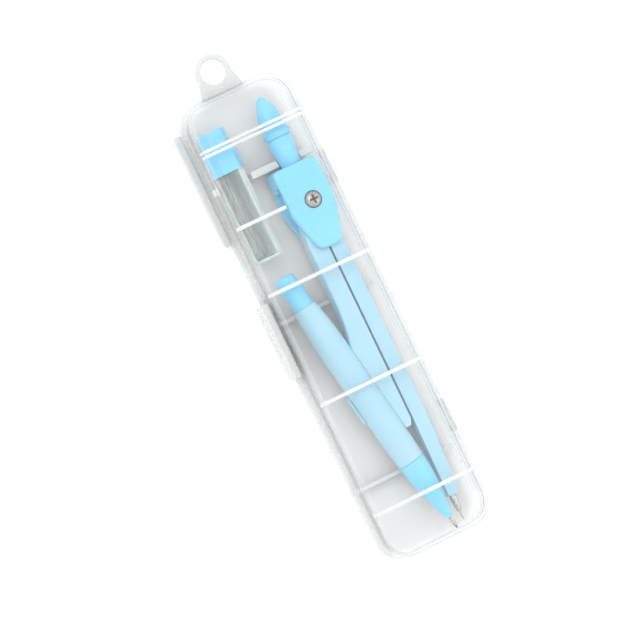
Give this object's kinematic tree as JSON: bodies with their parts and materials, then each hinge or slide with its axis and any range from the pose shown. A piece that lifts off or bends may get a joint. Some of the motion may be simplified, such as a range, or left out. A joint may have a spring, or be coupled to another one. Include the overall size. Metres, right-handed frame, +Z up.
{
  "type": "drafting compass set",
  "caption": "Drafting compass with a clip-on mechanical pencil and a hex tube of spare leads, stored in a clear hinged case with a hanging ring.",
  "frame": {"origin": "middle of the flat underside of the closed case", "axes": "+Y along the case's length towards the hanging ring; +Z up out of the clear lid; +X towards the case's hinge side, the latch is at -X"},
  "size_m": [0.0443, 0.1766, 0.018],
  "materials": {
    "clear_case": "clear, lightly frosted",
    "clear_tube": "clear, gloss",
    "sky_plastic": "gloss",
    "pale_plastic": "satin gloss",
    "washer_plastic": "matte",
    "steel": "plated, satin",
    "brass": "turned",
    "graphite": "graphite, matte"
  },
  "bodies": {
    "case_body": {"case_base": "clear_case", "hanging_tab": "clear_case", "lead_tube": "clear_tube", "spare_leads": "graphite", "head_front_cover": "sky_plastic", "head_rear_cover": "sky_plastic", "handle_neck": "sky_plastic", "handle_grip": "sky_plastic", "pivot_screw": "steel", "pivot_nut": "steel", "friction_washer": "washer_plastic"},
    "lid": {"case_lid": "clear_case"},
    "latch": {"latch_flap": "clear_case"},
    "left_leg": {"pencil_leg": "pale_plastic"},
    "right_leg": {"needle_leg": "pale_plastic", "needle_sleeve": "steel", "needle_point": "steel"},
    "pencil": {"pencil_barrel": "pale_plastic", "pencil_nose": "sky_plastic", "lead_guide": "steel", "clutch_ring": "brass", "pencil_lead": "graphite"},
    "clicker": {"push_button": "sky_plastic", "lead_reservoir": "pale_plastic", "lead_chuck": "brass", "clutch_spring": "steel"},
    "tube_cap": {"lead_tube_cap": "sky_plastic"}
  },
  "joints": [
    {"name": "lid_hinge", "type": "hinge", "parent": "case_body", "child": "lid", "pos_m": [0.021, 0, 0.01], "axis": [0, 1, 0], "range_deg": [0, 170]},
    {"name": "latch_hinge", "type": "hinge", "parent": "lid", "child": "latch", "pos_m": [-0.02085, 0, 0.0126], "axis": [0, 1, 0], "range_deg": [0, 90]},
    {"name": "left_leg_swing", "type": "hinge", "parent": "case_body", "child": "left_leg", "pos_m": [0.00895, 0.0372, 0.0082], "axis": [0, 0, -1], "range_deg": [0, 7]},
    {"name": "right_leg_swing", "type": "hinge", "parent": "case_body", "child": "right_leg", "pos_m": [0.00895, 0.0372, 0.0082], "axis": [0, 0, 1], "range_deg": [0, 2]},
    {"name": "pencil_slide", "type": "slide", "parent": "left_leg", "child": "pencil", "axis": [-0.1662, 0.9861, 0], "range_m": [0, 0.0025]},
    {"name": "button_press", "type": "slide", "parent": "pencil", "child": "clicker", "axis": [0.1662, -0.9861, 0], "range_m": [0, 0.0025], "stiffness_N_per_m": 300, "deforming": ["clutch_spring"]},
    {"name": "cap_pull", "type": "slide", "parent": "case_body", "child": "tube_cap", "axis": [0, 1, 0], "range_m": [0, 0.006]}
  ]
}
